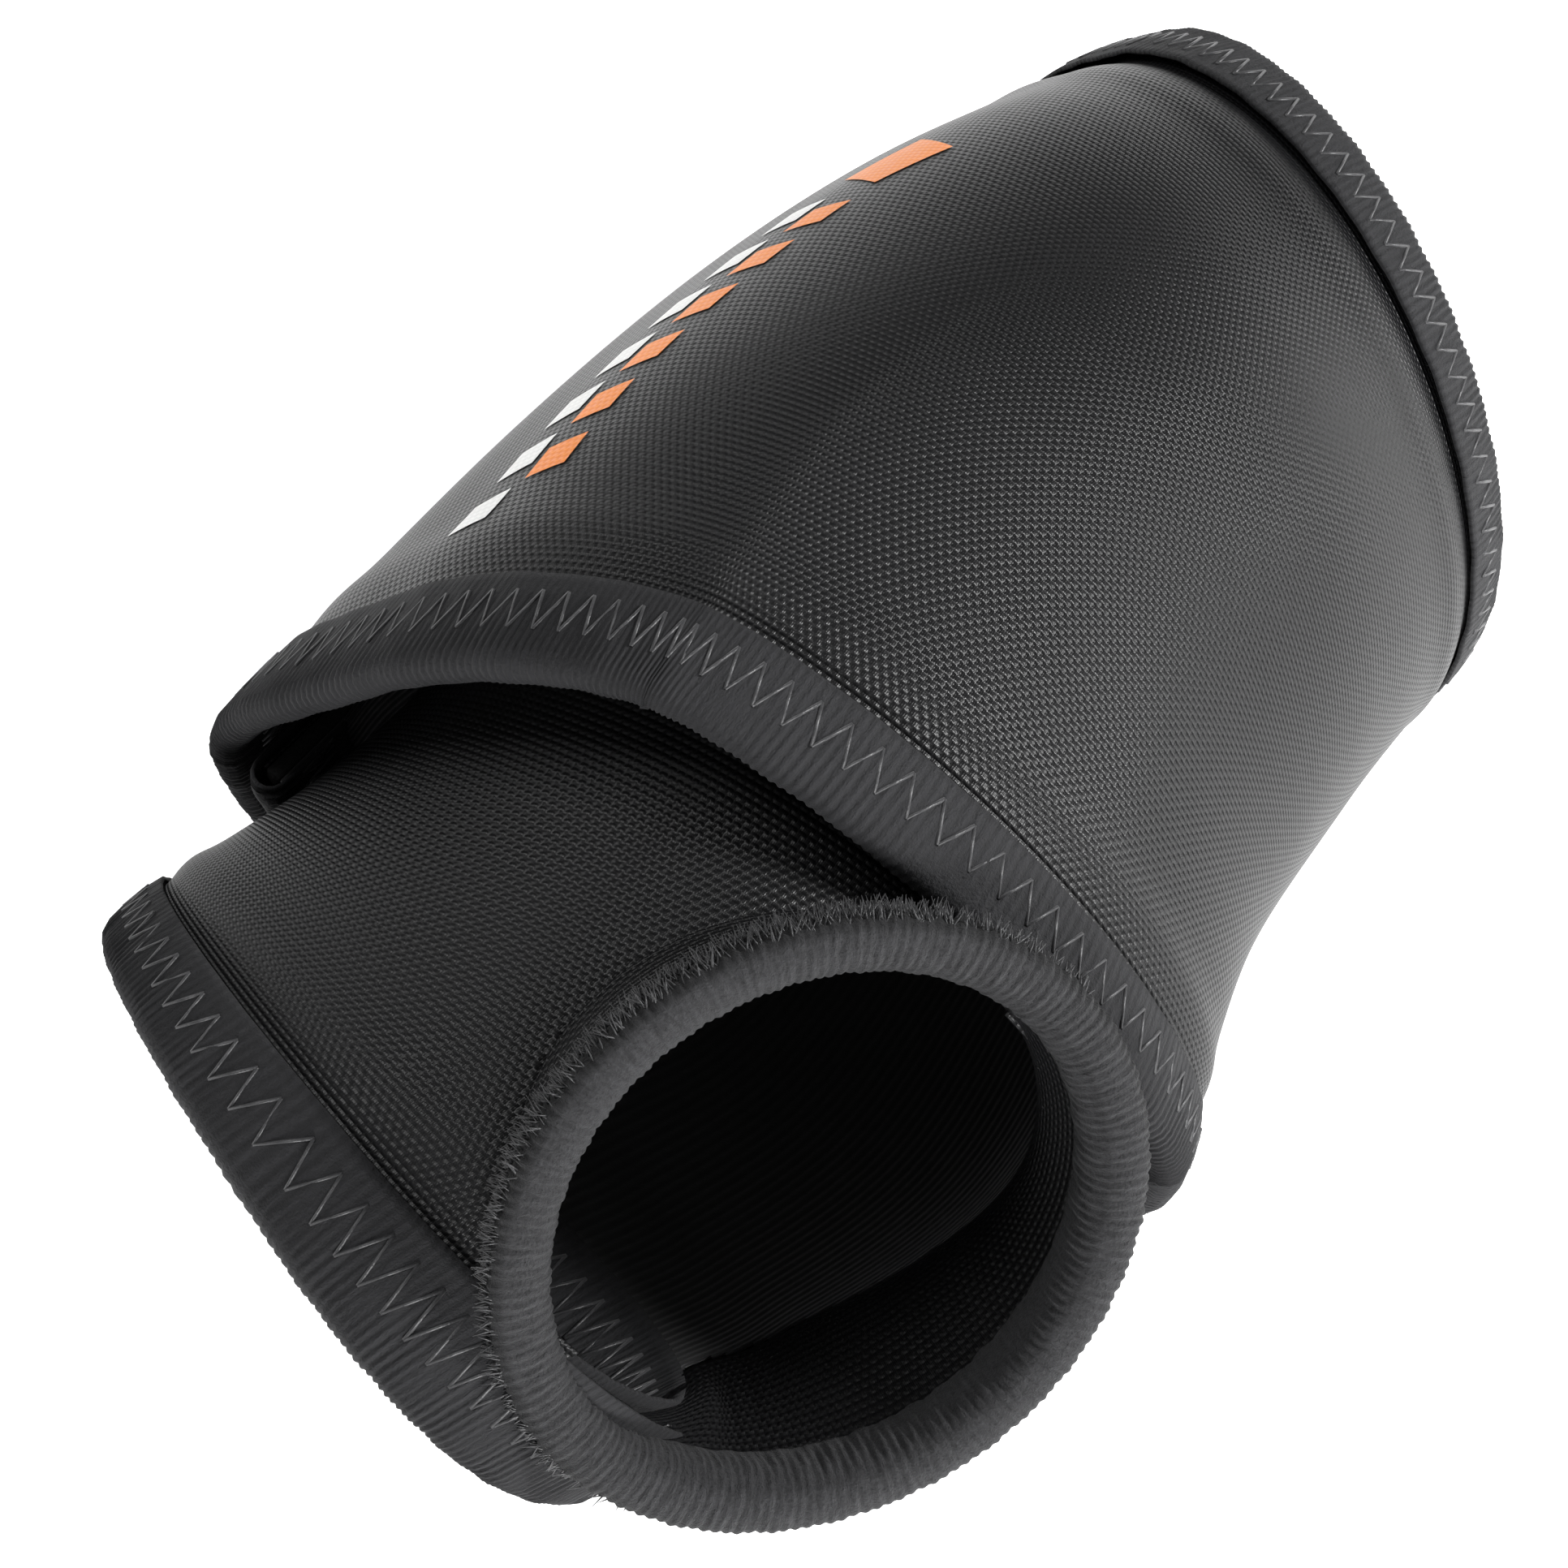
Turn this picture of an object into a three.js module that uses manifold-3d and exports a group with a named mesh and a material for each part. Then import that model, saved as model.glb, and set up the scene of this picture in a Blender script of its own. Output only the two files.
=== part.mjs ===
// Elbow support: a tubular neoprene sleeve with a collared elbow window, inside a wide wrap panel
// that is sewn on at its start edge and closes on itself with a hook-and-loop flap.
// Millimetres. X runs along the arm towards the forearm opening, Z is up. The soft parts are drawn
// as cross-sections in a design frame, and at the end the whole is set down on Z = 0.
import * as THREE from 'three';
import { mergeVertices } from 'three/addons/utils/BufferGeometryUtils.js';
import Module from 'manifold-3d';

const wasm = await Module();
wasm.setup();

// ---- driving dimensions -------------------------------------------------------------------------

// Laminate, measured inwards from the outer face: cloth, foam and lining, with a small air gap
// between them.
const CLOTH = 0.4;
const FOAM = 2.0;
const GAP = 0.25;
const LAMINATE = 2 * CLOTH + FOAM + 2 * GAP;

const FACE = { out: 0, in: -CLOTH };
const CORE = { out: -CLOTH - GAP, in: -CLOTH - GAP - FOAM };
const LINING = { out: -LAMINATE + CLOTH, in: -LAMINATE };

// Edge binding: a folded tape around the laminate's edge.
const TAPE = 0.7;
const TAPE_GAP = 0.35;
const BINDING_WIDTH = 9.5;
const EDGE_CLEARANCE = 0.4;

// Hook-and-loop closure on the back.
const PATCH = 0.6;
const OVERLAP_LIFT = 4.8;
const OVERLAP_RECESS = 2.0;
const HINGE_ANGLE = 175;
const LIFT_ARC = 35;
const RECESS_ARC = 80;
const FLAP_ARC = 54;
const FLAP_TIP_WIDTH = 0.62;
const HINGE_SLIT = 0.5;
const FOLD_BULGE = 5.2;

// The underside is pressed flat where the support lies on a table.
const FLOOR = -58;

// Cross-sections from the forearm end to the elbow end. Each is a superellipse about (x, y, z):
// half is its half-width, top and bottom its heights; yaw turns it about Z, and lean and leanLow
// tip its upper and lower half along the arm. round and roundLow are the exponents, 2 for an
// ellipse. skew moves the crest to the back, and taper makes the front half taller.
const WRAP = [
  { x: 103, y: 1, z: -14, half: 48, top: 47, bottom: 47, yaw: -18, lean: 0, leanLow: 0,
    skew: 0, round: 2, roundLow: 2, taper: 0 },
  { x: 61, y: 3, z: -10, half: 52, top: 58, bottom: 50, yaw: -6, lean: 4, leanLow: 0,
    skew: 0, round: 2, roundLow: 2, taper: 0 },
  { x: 18, y: 1.5, z: -8, half: 56, top: 60, bottom: 52, yaw: 9, lean: 6, leanLow: 0,
    skew: 0.08, round: 1.8, roundLow: 2, taper: 0 },
  { x: -23, y: -7, z: -5, half: 63, top: 52, bottom: 55, yaw: 17, lean: 6, leanLow: -4,
    skew: 0.1, round: 1.5, roundLow: 1.9, taper: 0 },
];
const SLEEVE = [
  { x: 97, y: -1.5, z: -14, half: 38.5, top: 37, bottom: 37, yaw: -18, lean: 0, leanLow: 0,
    skew: 0, round: 2, roundLow: 2, taper: 0 },
  { x: 60, y: 0.5, z: -10, half: 42, top: 47, bottom: 41, yaw: -6, lean: 2, leanLow: 0,
    skew: 0, round: 2, roundLow: 2, taper: 0 },
  { x: 18, y: -0.5, z: -9, half: 46, top: 46, bottom: 42, yaw: 8, lean: 0, leanLow: 0,
    skew: 0.05, round: 1.9, roundLow: 2, taper: 0 },
  { x: -28, y: -5, z: -8, half: 51, top: 36, bottom: 38, yaw: 8, lean: -10, leanLow: -10,
    skew: 0, round: 1.9, roundLow: 2, taper: 0.2 },
  { x: -72, y: 4.5, z: -11, half: 46, top: 22, bottom: 17, yaw: -9, lean: -26, leanLow: -26,
    skew: 0, round: 2.4, roundLow: 2.4, taper: 0.3 },
];

// Elbow window: an oval collar that stands on the front shoulder of the sleeve.
const WINDOW = {
  centre: new THREE.Vector3(-44.3, -47.8, 15.2),
  axis: new THREE.Vector3(-0.34, -0.59, 0.73).normalize(),
  outer: 32.8,
  inner: 26.6,
  stretch: 1.18,
  turn: 22,
  depth: 40,
};

// Grid rows of each sheet. The rows next to an edge are where its binding ends, and patches and
// tapes keep to the rows, so that neighbouring layers have parallel facets.
const evenly = (steps) => Array.from({ length: steps + 1 }, (_, i) => i / steps);
const TURN = evenly(32);
const SLEEVE_ROWS = [0, 0.045, 0.2, 0.35, 0.5, 0.65, 0.8, 0.94, 1];
const WRAP_ROWS = [0, 0.075, 0.22, 0.41, 0.6, 0.78, 0.925, 1];
const FLAP_TURN = [0, 0.25, 0.45, 0.65, 0.84, 1];
const FLAP_ROWS = [0, 0.075, 0.24, 0.42, 0.58, 0.76, 0.925, 1];

// ---- materials ----------------------------------------------------------------------------------

const finish = (color, roughness) =>
  new THREE.MeshStandardMaterial({ color, roughness, metalness: 0 });
const faceCloth = () => finish(0x1e1e1f, 0.55);
const foam = () => finish(0x161616, 0.9);
const liningCloth = () => finish(0x151515, 0.8);
const bindingTape = () => finish(0x252526, 0.75);
const seamTape = () => finish(0x1a1a1a, 0.8);
const fastener = () => finish(0x111111, 0.9);
const orangeInk = () => finish(0xf0882c, 0.5);
const whiteInk = () => finish(0xf2f2f2, 0.5);

// ---- curved sheets ------------------------------------------------------------------------------

const radians = THREE.MathUtils.degToRad;
const smooth = (x) => THREE.MathUtils.smoothstep(x, 0, 1);

// One cross-section at t, 0 at the forearm end and 1 at the elbow end: a Catmull-Rom blend.
function sectionAt(sections, t) {
  const spans = sections.length - 1;
  const place = t * spans;
  const i = Math.min(Math.max(Math.floor(place), 0), spans - 1);
  const f = place - i;
  const result = {};
  for (const key of Object.keys(sections[0])) {
    const p1 = sections[i][key];
    const p2 = sections[i + 1][key];
    const p0 = i > 0 ? sections[i - 1][key] : 2 * p1 - p2;
    const p3 = i + 2 <= spans ? sections[i + 2][key] : 2 * p2 - p1;
    const linear = (p2 - p0) * f;
    const square = (2 * p0 - 5 * p1 + 4 * p2 - p3) * f * f;
    const cube = (3 * p1 - p0 - 3 * p2 + p3) * f ** 3;
    result[key] = 0.5 * (2 * p1 + linear + square + cube);
  }
  return result;
}

// A point on a cross-section: 0 degrees faces -Y, 90 up, 180 back and 270 down.
function pointOnSection(s, degrees) {
  const c = Math.cos(radians(degrees));
  const q = Math.sin(radians(degrees));
  const upper = q > 0;
  const power = 2 / (upper ? s.round : s.roundLow);
  const across = Math.sign(c) * Math.abs(c) ** power;
  const height = (upper ? s.top : s.bottom) * Math.sign(q) * Math.abs(q) ** power;
  const width = s.half * (across - s.skew * Math.max(q, 0) ** 2);
  const yaw = radians(s.yaw);
  const lean = radians(upper ? s.lean : s.leanLow);
  const side = new THREE.Vector3(Math.sin(yaw), -Math.cos(yaw), 0);
  const along = new THREE.Vector3(-Math.cos(yaw), -Math.sin(yaw), 0);
  const up = new THREE.Vector3(0, 0, Math.cos(lean)).addScaledVector(along, -Math.sin(lean));
  const point = new THREE.Vector3(s.x, s.y, s.z).addScaledVector(side, width);
  return point.addScaledVector(up, height * (1 + s.taper * across));
}

function flattened(point) {
  point.z = Math.max(point.z, FLOOR);
  return point;
}

// A sheet is a function of (u, v) that gives a point of its outer face. u goes round the arm, and
// v from the forearm end to the elbow end.
const STEP = 0.002;

function normalOf(sheet, u, v) {
  const alongU = sheet(u + STEP, v).sub(sheet(u - STEP, v));
  const alongV = sheet(u, v + STEP).sub(sheet(u, v - STEP));
  return alongU.cross(alongV).normalize();
}

function shifted(sheet, u, v, offset) {
  return sheet(u, v).addScaledVector(normalOf(sheet, u, v), offset);
}

const sleeveSheet = (u, v) => flattened(pointOnSection(sectionAt(SLEEVE, v), 360 * u));

// The wrap starts under the flap, slightly sunk, and rises at its end to lie over its own start.
function overlapShift(turned) {
  const recess = OVERLAP_RECESS * (1 - smooth(turned / RECESS_ARC));
  const lift = OVERLAP_LIFT * smooth((turned - 360 + LIFT_ARC) / LIFT_ARC);
  return lift - recess;
}

function wrapBase(degrees, v) {
  return flattened(pointOnSection(sectionAt(WRAP, v), degrees));
}

function wrapTurn(turned, v) {
  const base = (u, w) => wrapBase(HINGE_ANGLE + 360 * u, w);
  const u = turned / 360;
  return base(u, v).addScaledVector(normalOf(base, u, v), overlapShift(turned));
}

const wrapSheet = (u, v) => wrapTurn(360 * u, v);

// The flap carries on from the end of the wrap, and narrows towards its tip.
function flapSheet(u, v) {
  const narrowing = (1 - FLAP_TIP_WIDTH) * smooth((u - 0.35) / 0.65);
  const place = 0.5 + (v - 0.5) * (1 - narrowing);
  return wrapTurn(360 + HINGE_SLIT + FLAP_ARC * u, place);
}

// ---- solids from sheets -------------------------------------------------------------------------

function solidFrom(points, faces) {
  const geometry = new THREE.BufferGeometry();
  const positions = new Float32Array(points.flatMap((p) => p.toArray()));
  geometry.setAttribute('position', new THREE.BufferAttribute(positions, 3));
  geometry.setIndex(faces.flat());
  return geometry;
}

// Joins rings of points into a closed skin: each ring is a closed loop of the same length, and the
// rings follow each other, either round in a circle or from one capped end to the other.
function skinOverRings(rings, closed) {
  const size = rings[0].length;
  const faces = [];
  const last = closed ? rings.length : rings.length - 1;
  for (let i = 0; i < last; i += 1) {
    const a = i * size;
    const b = ((i + 1) % rings.length) * size;
    for (let j = 0; j < size; j += 1) {
      const k = (j + 1) % size;
      faces.push([a + j, b + j, b + k], [a + j, b + k, a + k]);
    }
  }
  return { faces, points: rings.flat() };
}

// One layer of a sheet, between two offsets from its outer face, over rows us and vs. Both faces
// split their squares along the same diagonal.
function layer(sheet, offsets, us, vs, closed = false) {
  const turns = closed ? us.slice(0, -1) : us;
  const points = [];
  for (const offset of [offsets.out, offsets.in]) {
    for (const u of turns) for (const v of vs) points.push(shifted(sheet, u, v, offset));
  }
  const inner = turns.length * vs.length;
  const at = (i, j) => (i % turns.length) * vs.length + j;
  const faces = [];
  const wall = (a, b) => faces.push([a, b, inner + b], [a, inner + b, inner + a]);
  const last = vs.length - 1;
  for (let i = 0; i < us.length - 1; i += 1) {
    for (let j = 0; j < last; j += 1) {
      const [a, b, c, d] = [at(i, j), at(i + 1, j), at(i + 1, j + 1), at(i, j + 1)];
      faces.push([a, b, c], [a, c, d]);
      faces.push([inner + a, inner + c, inner + b], [inner + a, inner + d, inner + c]);
    }
    wall(at(i + 1, 0), at(i, 0));
    wall(at(i, last), at(i + 1, last));
  }
  if (!closed) {
    for (let j = 0; j < last; j += 1) {
      wall(at(0, j), at(0, j + 1));
      wall(at(us.length - 1, j + 1), at(us.length - 1, j));
    }
  }
  return solidFrom(points, faces);
}

// The folded tape's outline: [depth, offset]. Depth 1 is the row where the tape ends and 0 the
// sheet's edge, and a depth below 0 is in millimetres past the edge.
function bindingOutline() {
  const top = TAPE_GAP + TAPE;
  const low = -LAMINATE - TAPE_GAP;
  const nose = -EDGE_CLEARANCE - TAPE;
  return [
    [1, TAPE_GAP], [1, top], [0, top], [nose, TAPE_GAP - TAPE], [nose, low + TAPE],
    [0, low - TAPE], [1, low - TAPE], [1, low], [-EDGE_CLEARANCE, low],
    [-EDGE_CLEARANCE, TAPE_GAP],
  ];
}

// A point beside an edge, where place.edge and place.inner are [u, v] on the edge and on the row
// where the tape ends.
function besideEdge(sheet, place, depth, offset) {
  const [edge, inner] = [place.edge, place.inner];
  const inside = Math.max(depth, 0);
  const u = edge[0] + (inner[0] - edge[0]) * inside;
  const v = edge[1] + (inner[1] - edge[1]) * inside;
  const point = shifted(sheet, u, v, offset);
  if (depth < 0) {
    const outward = sheet(...edge).sub(sheet(...inner)).normalize();
    point.addScaledVector(outward, -depth);
  }
  return point;
}

function binding(sheet, path, closed) {
  const outline = bindingOutline();
  const rings = path.map((place) => outline.map(([d, o]) => besideEdge(sheet, place, d, o)));
  const { faces, points } = skinOverRings(rings, closed);
  if (!closed) {
    const flat = outline.map(([d, o]) => new THREE.Vector2(d > 0 ? BINDING_WIDTH : d, o));
    const end = points.length - outline.length;
    for (const [a, b, c] of THREE.ShapeUtils.triangulateShape(flat, [])) {
      faces.push([a, b, c], [end + a, end + c, end + b]);
    }
  }
  return solidFrom(points, faces);
}

// A whole rim of a sheet, as a path for binding().
const rim = (us, edge, inner) => us.map((u) => ({ edge: [u, edge], inner: [u, inner] }));

// The three free edges of the flap, with mitred corners.
function flapEdges() {
  const [low, high] = [FLAP_ROWS[1], FLAP_ROWS.at(-2)];
  const tip = FLAP_TURN.at(-2);
  const sides = FLAP_TURN.slice(0, -1);
  return [
    ...rim(sides, 0, low),
    { edge: [1, 0], inner: [tip, low] },
    ...FLAP_ROWS.slice(1, -1).map((v) => ({ edge: [1, v], inner: [tip, v] })),
    { edge: [1, 1], inner: [tip, high] },
    ...rim(sides.reverse(), 1, high),
  ];
}

// ---- booleans -----------------------------------------------------------------------------------

function outwards(geometry) {
  const index = geometry.index.array;
  const p = geometry.attributes.position;
  const [a, b, c] = [0, 1, 2].map(() => new THREE.Vector3());
  let volume = 0;
  for (let i = 0; i < index.length; i += 3) {
    a.fromBufferAttribute(p, index[i]);
    b.fromBufferAttribute(p, index[i + 1]);
    c.fromBufferAttribute(p, index[i + 2]);
    volume += a.dot(b.cross(c));
  }
  if (volume < 0) {
    for (let i = 0; i < index.length; i += 3) {
      [index[i], index[i + 1]] = [index[i + 1], index[i]];
    }
  }
  return geometry;
}

function toManifold(geometry) {
  const bare = geometry.clone();
  for (const name of ['normal', 'uv']) bare.deleteAttribute(name);
  const merged = outwards(mergeVertices(bare, 1e-4));
  return new wasm.Manifold(new wasm.Mesh({
    numProp: 3,
    vertProperties: Float32Array.from(merged.attributes.position.array),
    triVerts: Uint32Array.from(merged.index.array),
  }));
}

function fromManifold(solid) {
  const mesh = solid.getMesh();
  const geometry = new THREE.BufferGeometry();
  geometry.setAttribute('position', new THREE.BufferAttribute(mesh.vertProperties, 3));
  geometry.setIndex(Array.from(mesh.triVerts));
  return geometry;
}

const cut = (geometry, tool) => fromManifold(toManifold(geometry).subtract(toManifold(tool)));

// ---- elbow window -------------------------------------------------------------------------------

const windowAcross = new THREE.Vector3(0, 0, 1).cross(WINDOW.axis).normalize();
const windowUp = WINDOW.axis.clone().cross(windowAcross);
windowAcross.applyAxisAngle(WINDOW.axis, radians(WINDOW.turn));
windowUp.applyAxisAngle(WINDOW.axis, radians(WINDOW.turn));
const windowFrame = new THREE.Matrix4()
  .makeBasis(windowAcross, windowUp, WINDOW.axis)
  .setPosition(WINDOW.centre);

// Turns an outline of [radius, height] round the window's axis, then stretches it to the oval.
function ovalSolid(outline, steps = 28) {
  const geometry = new THREE.LatheGeometry(outline.map(([r, h]) => new THREE.Vector2(r, h)), steps);
  geometry.rotateX(Math.PI / 2);
  geometry.scale(WINDOW.stretch, 1, 1);
  for (const name of ['normal', 'uv']) geometry.deleteAttribute(name);
  return mergeVertices(geometry.applyMatrix4(windowFrame), 1e-4);
}

const ovalRing = (outline) => ovalSolid([...outline, outline[0]]);

function ovalPlug(radius) {
  const h = WINDOW.depth;
  return ovalSolid([[0, -h], [radius, -h], [radius, h], [0, h]]);
}

// A solid block of everything inside a sheet, between rows of [v, offset]. It trims the collar's
// foot, so that the collar stands on the sleeve and clears the edges beside it.
function block(sheet, rows) {
  const turns = TURN.slice(0, -1);
  const rings = rows.map(([v, offset]) => turns.map((u) => shifted(sheet, u, v, offset)));
  const { faces, points } = skinOverRings(rings, false);
  const end = points.length - turns.length;
  for (let i = 1; i < turns.length - 1; i += 1) {
    faces.push([0, i, i + 1], [end, end + i + 1, end + i]);
  }
  return solidFrom(points, faces);
}

const overBinding = TAPE + 4 * GAP;
const sleeveBlock = () => block(sleeveSheet, [
  ...SLEEVE_ROWS.slice(0, -2).map((v) => [v, GAP]), [0.93, GAP], [0.931, overBinding],
  [1.03, overBinding],
]);
const wrapBlock = () => block((u, v) => wrapBase(360 * u, v), [
  [0.5, GAP], [0.7, GAP], [0.915, GAP], [0.916, overBinding], [1.02, overBinding],
]);

const collarTop = -TAPE - GAP;
const collarCore = [
  [WINDOW.inner + TAPE + GAP, -WINDOW.depth],
  [WINDOW.outer - TAPE - GAP, -WINDOW.depth],
  [WINDOW.outer - TAPE - GAP, collarTop],
  [WINDOW.inner + TAPE + GAP, collarTop],
];
const collarTape = [
  [WINDOW.inner, -BINDING_WIDTH], [WINDOW.inner + TAPE, -BINDING_WIDTH],
  [WINDOW.inner + TAPE, -TAPE], [WINDOW.outer - TAPE, -TAPE],
  [WINDOW.outer - TAPE, -BINDING_WIDTH], [WINDOW.outer, -BINDING_WIDTH],
  [WINDOW.outer, -TAPE], [WINDOW.outer - TAPE, 0],
  [WINDOW.inner + TAPE, 0], [WINDOW.inner, -TAPE],
];

// ---- print: a lozenge and two combs of slanted bars ----------------------------------------------

const INK = 0.2;
const INK_LIFT = 0.6;
const PRINT = { u: 0.868, v: 0.46, pitch: 0.062, width: 0.011, length: 0.04, slant: 0.006 };
const SPINE = 0.0025;

// A thin mark on the wrap's face, from its corners in (u, v) and the four-sided tiles that join
// them. Only the sides that no two tiles share get a wall.
function inkMark(corners, tiles) {
  const at = (offset) => corners.map(([u, v]) => shifted(wrapSheet, u, v, offset));
  const high = corners.length;
  const faces = [];
  const sides = new Set(tiles.flatMap((tile) => tile.map((c, i) => `${c},${tile[(i + 1) % 4]}`)));
  for (const tile of tiles) {
    const [a, b, c, d] = tile;
    faces.push([a, c, b], [a, d, c]);
    faces.push([high + a, high + b, high + c], [high + a, high + c, high + d]);
    tile.forEach((p, i) => {
      const q = tile[(i + 1) % 4];
      if (!sides.has(`${q},${p}`)) faces.push([p, q, high + q], [p, high + q, high + p]);
    });
  }
  return solidFrom([...at(INK_LIFT), ...at(INK_LIFT + INK)], faces);
}

// A row of slanted bars that stand on a thin line, which starts at (u, v).
function comb(u, v, bars) {
  const { pitch, width, length, slant } = PRINT;
  const corners = [];
  const tiles = [];
  for (let i = 0; i < bars; i += 1) {
    const low = v + i * pitch;
    const high = low + length - slant;
    const k = corners.length;
    corners.push([u, low], [u + SPINE, low], [u + width, low + slant]);
    corners.push([u, high], [u + SPINE, high], [u + width, low + length]);
    tiles.push([k, k + 1, k + 4, k + 3], [k + 1, k + 2, k + 5, k + 4]);
    if (i > 0) tiles.push([k - 3, k - 2, k + 1, k]);
  }
  return { corners, tiles };
}

function orangePrint() {
  const { u, v } = PRINT;
  const { corners, tiles } = comb(u - 0.006, v, 6);
  const k = corners.length;
  corners.push([u - 0.018, v - 0.085], [u + 0.012, v - 0.06]);
  return inkMark(corners, [...tiles, [k, k + 1, 1, 0]]);
}

function whitePrint() {
  const { corners, tiles } = comb(PRINT.u + 0.014, PRINT.v - 0.01, 7);
  return inkMark(corners, tiles);
}

// ---- the pieces ---------------------------------------------------------------------------------

const hole = ovalPlug(WINDOW.inner);
const trimmed = (ring) => cut(cut(ring, sleeveBlock()), wrapBlock());

const sleeveLayer = (o) => cut(layer(sleeveSheet, o, TURN, SLEEVE_ROWS, true), hole);
const wrapLayer = (offsets) => layer(wrapSheet, offsets, TURN, WRAP_ROWS);
const flapLayer = (offsets) => layer(flapSheet, offsets, FLAP_TURN, FLAP_ROWS);
const wholeTurn = TURN.slice(0, -1);
const forearmRim = rim(wholeTurn, 0, SLEEVE_ROWS[1]);
const upperArmRim = rim(wholeTurn, 1, SLEEVE_ROWS.at(-2));
const wrapForearmRim = rim(TURN, 0, WRAP_ROWS[1]);
const wrapElbowRim = rim(TURN, 1, WRAP_ROWS.at(-2));

const patchOn = { out: GAP + PATCH, in: GAP };
const patchUnder = { out: LINING.in - GAP, in: LINING.in - GAP - PATCH };
const tapeUnder = { out: LINING.in - GAP, in: LINING.in - GAP - TAPE };
const tabOn = { out: GAP + 2 * TAPE, in: GAP };

const rootPieces = {
  sleeve_foam_core: [sleeveLayer(CORE), foam],
  sleeve_face_fabric: [sleeveLayer(FACE), faceCloth],
  sleeve_lining: [sleeveLayer(LINING), liningCloth],
  sleeve_seam_tape: [
    layer(sleeveSheet, tapeUnder, TURN.slice(22, 24), SLEEVE_ROWS.slice(2, -2)), seamTape,
  ],
  forearm_opening_binding: [binding(sleeveSheet, forearmRim, true), bindingTape],
  upper_arm_opening_binding: [binding(sleeveSheet, upperArmRim, true), bindingTape],
  elbow_window_collar: [trimmed(ovalRing(collarCore)), foam],
  elbow_window_binding: [trimmed(ovalRing(collarTape)), bindingTape],
  wrap_foam_core: [wrapLayer(CORE), foam],
  wrap_face_fabric: [wrapLayer(FACE), faceCloth],
  wrap_lining: [wrapLayer(LINING), liningCloth],
  wrap_forearm_edge_binding: [binding(wrapSheet, wrapForearmRim, false), bindingTape],
  wrap_elbow_edge_binding: [binding(wrapSheet, wrapElbowRim, false), bindingTape],
  wrap_anchor_tape: [
    layer(wrapSheet, tapeUnder, TURN.slice(0, 2), WRAP_ROWS.slice(2, -2)), seamTape,
  ],
  loop_patch: [
    layer(wrapSheet, patchOn, TURN.slice(1, 5), WRAP_ROWS.slice(2, -2)), fastener,
  ],
  orange_print: [orangePrint(), orangeInk],
  white_print: [whitePrint(), whiteInk],
};
const flapPieces = {
  flap_foam_core: [flapLayer(CORE), foam],
  flap_face_fabric: [flapLayer(FACE), faceCloth],
  flap_lining: [flapLayer(LINING), liningCloth],
  flap_binding: [binding(flapSheet, flapEdges(), false), bindingTape],
  hook_patch: [
    layer(flapSheet, patchUnder, FLAP_TURN.slice(1, 4), FLAP_ROWS.slice(2, -2)), fastener,
  ],
  pull_tab: [layer(flapSheet, tabOn, FLAP_TURN.slice(2, 5), FLAP_ROWS.slice(3, 5)), bindingTape],
};

// ---- assembly -----------------------------------------------------------------------------------

function addMeshes(parent, pieces, toLocal = new THREE.Matrix4()) {
  for (const [name, [geometry, material]] of Object.entries(pieces)) {
    const mesh = new THREE.Mesh(outwards(geometry.applyMatrix4(toLocal)), material());
    mesh.name = name;
    parent.add(mesh);
  }
}

const group = new THREE.Group();
addMeshes(group, rootPieces);

// The flap turns about a straight line beside the fold where it leaves the wrap. The fold bows
// outwards by FOLD_BULGE, and the line clears it, so that no layer turns back into the wrap.
const hingeNear = shifted(flapSheet, 0, 0.94, TAPE_GAP + TAPE);
const hingeFar = shifted(flapSheet, 0, 0.06, TAPE_GAP + TAPE);
const hingeDirection = hingeFar.clone().sub(hingeNear).normalize();
const flap = new THREE.Group();
flap.name = 'closure_flap';
flap.position.copy(hingeNear).add(hingeFar).multiplyScalar(0.5);
flap.position.addScaledVector(normalOf(flapSheet, 0, 0.5), FOLD_BULGE);
flap.quaternion.setFromUnitVectors(new THREE.Vector3(1, 0, 0), hingeDirection);
flap.updateMatrix();
addMeshes(flap, flapPieces, flap.matrix.clone().invert());
group.add(flap);

// Set down on Z = 0, centred on the origin.
group.updateMatrixWorld(true);
const box = new THREE.Box3().setFromObject(group, true);
const centre = box.getCenter(new THREE.Vector3());
group.position.set(-centre.x, -centre.y, -box.min.z);

export default group;
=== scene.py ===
"""Elbow support: a neoprene sleeve with a collared elbow window, inside a wide wrap that closes on
itself at the back with a hook-and-loop flap.

Shapes are worked out in millimetres in the design frame, where the sleeve and the wrap are rows of
cross-sections along the arm, and are set down in the row frame, in metres, as each mesh is made."""

import math
import random

import bmesh
import bpy
import numpy as np
from mathutils import Matrix, Vector
from mathutils.bvhtree import BVHTree


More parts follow.
